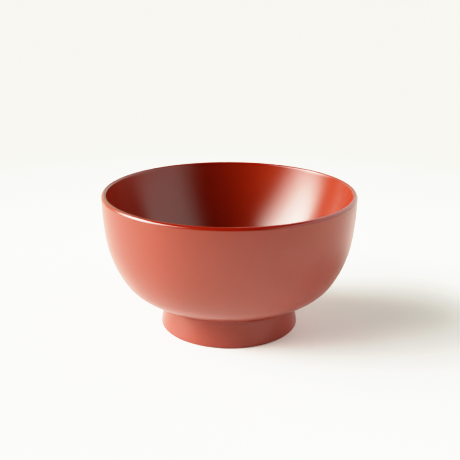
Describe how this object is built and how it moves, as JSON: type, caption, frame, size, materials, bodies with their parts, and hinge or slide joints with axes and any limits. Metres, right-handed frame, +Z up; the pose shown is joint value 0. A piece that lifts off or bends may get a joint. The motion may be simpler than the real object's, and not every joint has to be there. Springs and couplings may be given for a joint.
{
  "type": "rice bowl",
  "caption": "Lidless round bowl with a full belly, rounded lip and flared foot ring: turned wood under cloth, ground coat and satin vermilion lacquer.",
  "frame": {"origin": "centre of the standing ring, on the surface that the bowl stands on", "axes": "+Z up the turning axis, from the foot to the lip; the bowl is round, so X and Y are free"},
  "size_m": [0.12, 0.12, 0.0665],
  "materials": {
    "core_wood": "turned, unfinished",
    "band_cloth": "plain weave, soaked and set hard",
    "ground_coat": "filled and rubbed flat",
    "lacquer_inside": "semi-gloss",
    "lacquer_outside": "satin"
  },
  "bodies": {
    "root": {"wood_core": "core_wood", "rim_cloth": "band_cloth", "foot_cloth": "band_cloth", "well_cloth": "band_cloth", "inner_ground": "ground_coat", "outer_ground": "ground_coat", "inner_lacquer": "lacquer_inside", "outer_lacquer": "lacquer_outside", "foot_lacquer": "lacquer_outside"}
  },
  "joints": []
}
